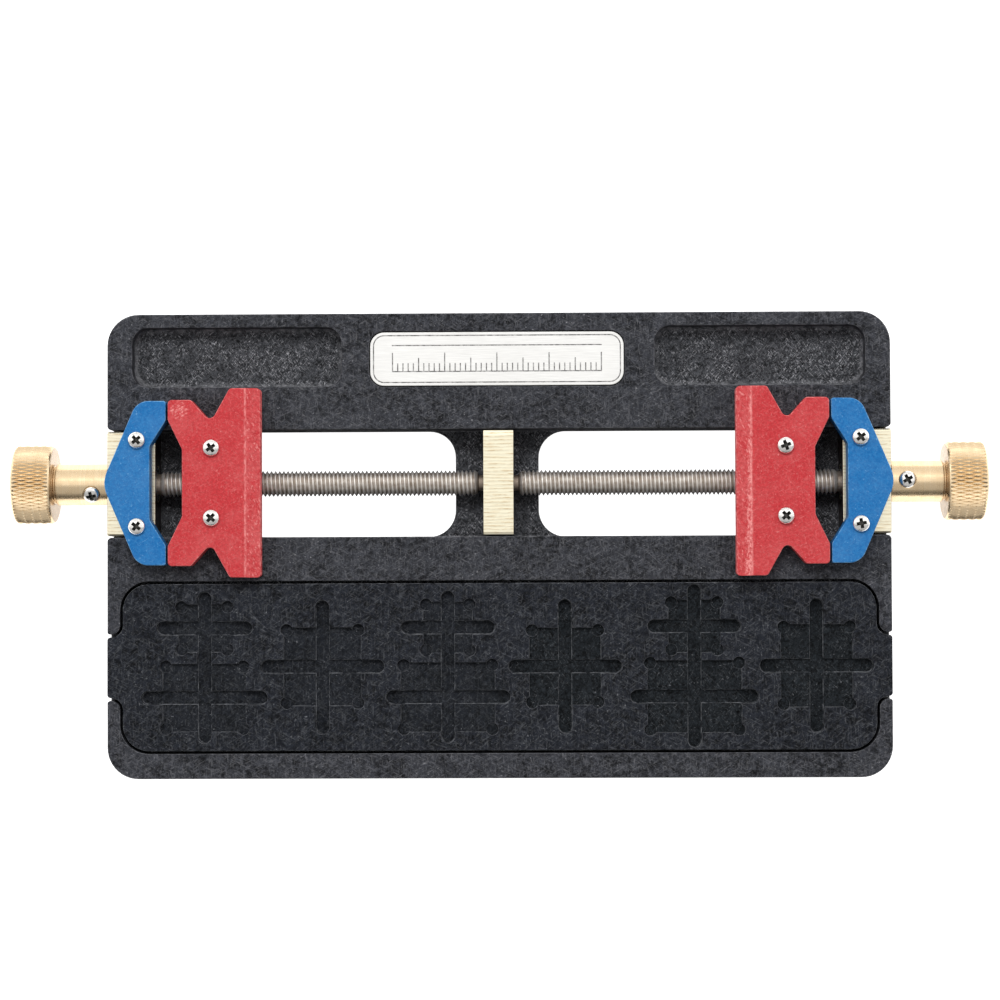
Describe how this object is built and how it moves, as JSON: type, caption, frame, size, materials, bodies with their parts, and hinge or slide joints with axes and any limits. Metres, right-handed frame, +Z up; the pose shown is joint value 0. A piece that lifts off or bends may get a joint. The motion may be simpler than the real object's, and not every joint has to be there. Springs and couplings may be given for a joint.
{
  "type": "pcb holder vise",
  "caption": "Low bench vise: two notched jaw plates close across a slotted base on separate lead screws with knurled knobs, beside a lift-out tray of chip pockets.",
  "frame": {"origin": "middle of the base's underside", "axes": "+X along the channel and both lead screws, +Y from the chip tray to the nameplate edge, +Z up"},
  "size_m": [0.1862, 0.089, 0.0174],
  "materials": {
    "base_stone": "matte charcoal glass-fibre board with pale fibre flecks",
    "tray_stone": "matte charcoal glass-fibre board with pale fibre flecks and cutter marks",
    "jaw_red": "satin red dyed plate, worn pale along its ridge",
    "end_blue": "satin blue dyed plate with machined edges",
    "block_brass": "milled brass with fine cutter lines",
    "knob_brass": "turned brass with a diamond knurl",
    "screw_nickel": "nickel-plated steel",
    "rod_steel": "turned steel thread with a trace of grease",
    "bearing_steel": "ground bearing steel",
    "base_screw_steel": "plain steel screws",
    "nameplate_silver": "brushed silver plate with a raised rim"
  },
  "bodies": {
    "base": {"base_plate": "base_stone", "nameplate": "nameplate_silver", "centre_block": "block_brass", "centre_block_screw_back": "base_screw_steel", "centre_block_screw_front": "base_screw_steel", "left_end_block": "block_brass", "left_end_plate": "end_blue", "left_bearing_outer_ring": "bearing_steel", "left_end_plate_screw_back": "screw_nickel", "left_end_plate_screw_front": "screw_nickel", "left_end_block_screw_back": "base_screw_steel", "left_end_block_screw_front": "base_screw_steel", "right_end_block": "block_brass", "right_end_plate": "end_blue", "right_bearing_outer_ring": "bearing_steel", "right_end_plate_screw_back": "screw_nickel", "right_end_plate_screw_front": "screw_nickel", "right_end_block_screw_back": "base_screw_steel", "right_end_block_screw_front": "base_screw_steel"},
    "tray": {"chip_tray": "tray_stone"},
    "left_spindle": {"left_lead_screw": "rod_steel", "left_knob": "knob_brass", "left_knob_screw": "screw_nickel", "left_bearing_inner_ring": "bearing_steel"},
    "left_balls": {"left_bearing_ball_cage": "bearing_steel"},
    "left_jaw": {"left_jaw_nut": "block_brass", "left_jaw_plate": "jaw_red", "left_jaw_screw_back": "screw_nickel", "left_jaw_screw_front": "screw_nickel"},
    "right_spindle": {"right_lead_screw": "rod_steel", "right_knob": "knob_brass", "right_knob_screw": "screw_nickel", "right_bearing_inner_ring": "bearing_steel"},
    "right_balls": {"right_bearing_ball_cage": "bearing_steel"},
    "right_jaw": {"right_jaw_nut": "block_brass", "right_jaw_plate": "jaw_red", "right_jaw_screw_back": "screw_nickel", "right_jaw_screw_front": "screw_nickel"}
  },
  "joints": [
    {"name": "left_knob_spin", "type": "hinge", "parent": "base", "child": "left_spindle", "pos_m": [-0.08, 0.012, 0.0081], "axis": [-1, 0, 0], "range_deg": [0, 20250]},
    {"name": "left_jaw_slide", "type": "slide", "parent": "base", "child": "left_jaw", "axis": [1, 0, 0], "range_m": [0, 0.04501]},
    {"name": "left_ball_roll", "type": "hinge", "parent": "base", "child": "left_balls", "pos_m": [-0.067, 0.012, 0.0081], "axis": [-1, 0, 0], "range_deg": [0, 9000]},
    {"name": "right_knob_spin", "type": "hinge", "parent": "base", "child": "right_spindle", "pos_m": [0.08, 0.012, 0.0081], "axis": [1, 0, 0], "range_deg": [0, 20250]},
    {"name": "right_jaw_slide", "type": "slide", "parent": "base", "child": "right_jaw", "axis": [-1, 0, 0], "range_m": [0, 0.04501]},
    {"name": "right_ball_roll", "type": "hinge", "parent": "base", "child": "right_balls", "pos_m": [0.067, 0.012, 0.0081], "axis": [1, 0, 0], "range_deg": [0, 9000]},
    {"name": "tray_lift", "type": "slide", "parent": "base", "child": "tray", "axis": [0, 0, 1], "range_m": [0, 0.03]}
  ],
  "couplings": [
    {"joint": "left_jaw_slide", "follows": "left_knob_spin", "m_per_rad": 0.00012732},
    {"joint": "left_ball_roll", "follows": "left_knob_spin", "ratio": 0.4326},
    {"joint": "right_jaw_slide", "follows": "right_knob_spin", "m_per_rad": 0.00012732},
    {"joint": "right_ball_roll", "follows": "right_knob_spin", "ratio": 0.4326}
  ]
}
